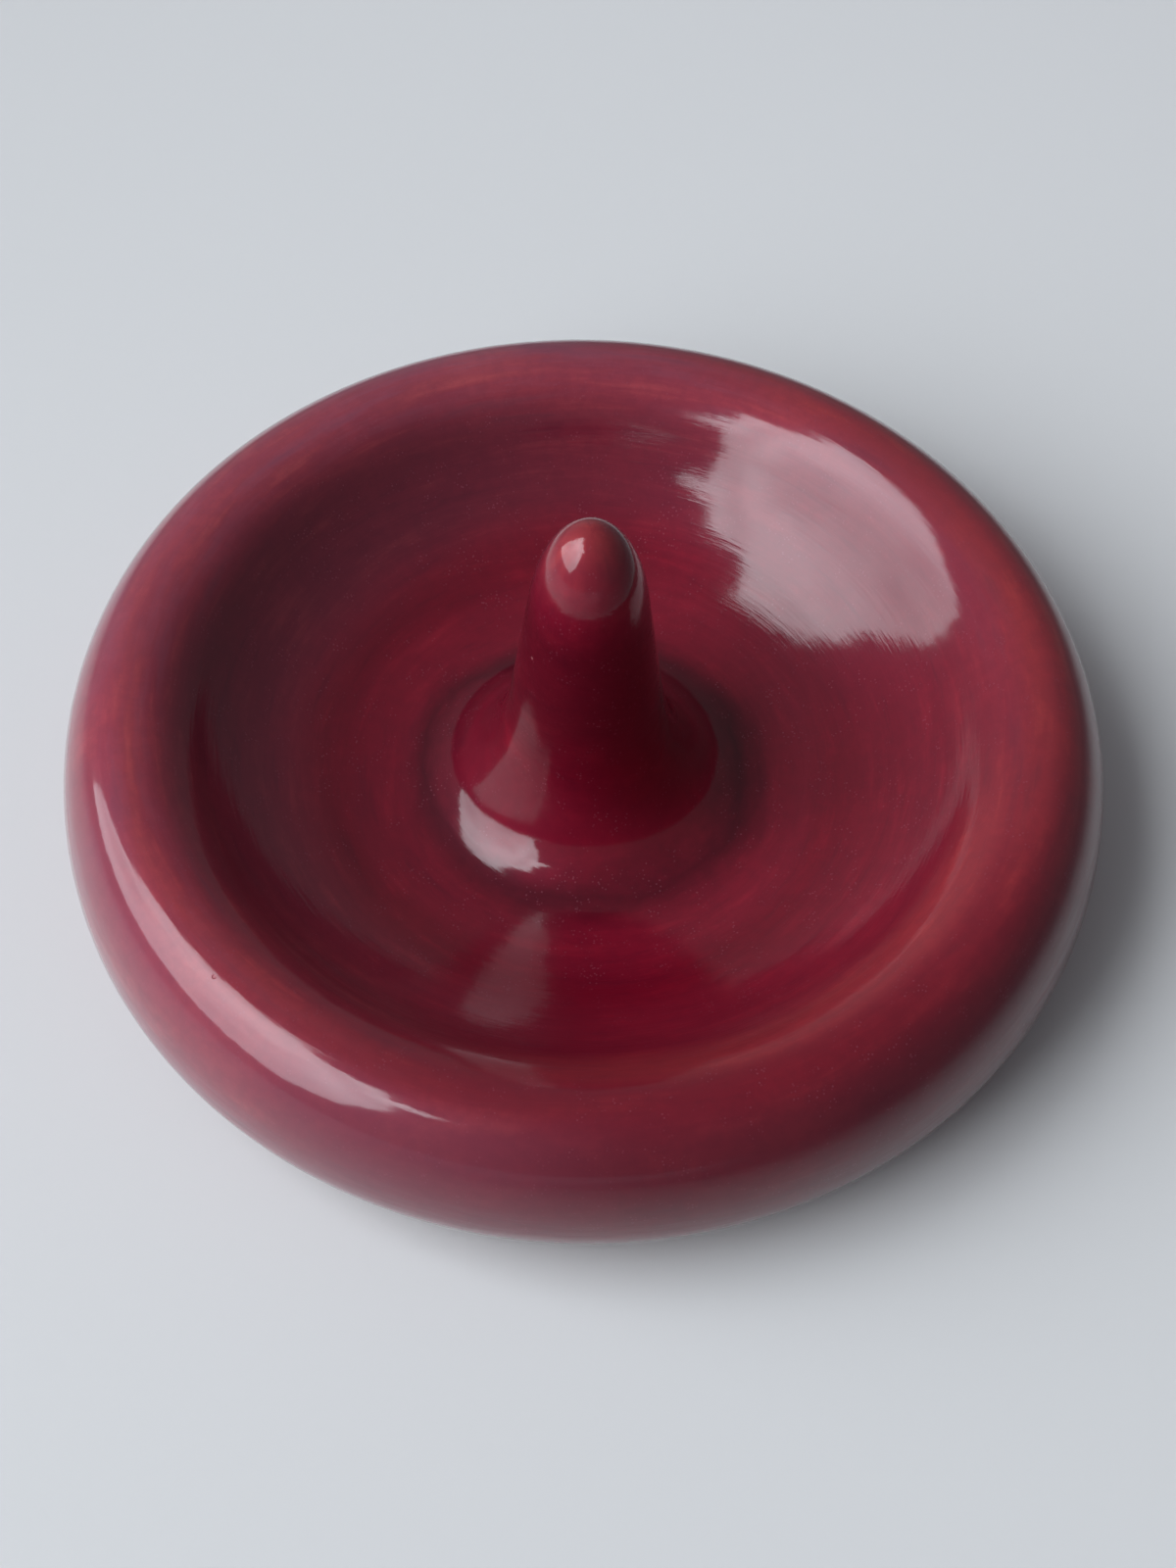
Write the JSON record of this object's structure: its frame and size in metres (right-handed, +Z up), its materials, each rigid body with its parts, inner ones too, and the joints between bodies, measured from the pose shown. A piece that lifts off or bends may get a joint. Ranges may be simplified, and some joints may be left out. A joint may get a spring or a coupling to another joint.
{
  "type": "ring dish",
  "caption": "Round glazed ceramic dish with a fat rolled rim and a tall rounded cone in the middle that finger rings slip over.",
  "frame": {"origin": "centre of the foot ring, on the table the dish stands on", "axes": "+Z up along the axis of the bowl and the cone; the dish is round, so +X and +Y are free"},
  "size_m": [0.118, 0.118, 0.0507],
  "materials": {
    "bowl_glaze": "gloss",
    "cone_glaze": "gloss"
  },
  "bodies": {
    "root": {"bowl": "bowl_glaze", "cone": "cone_glaze"}
  },
  "joints": []
}
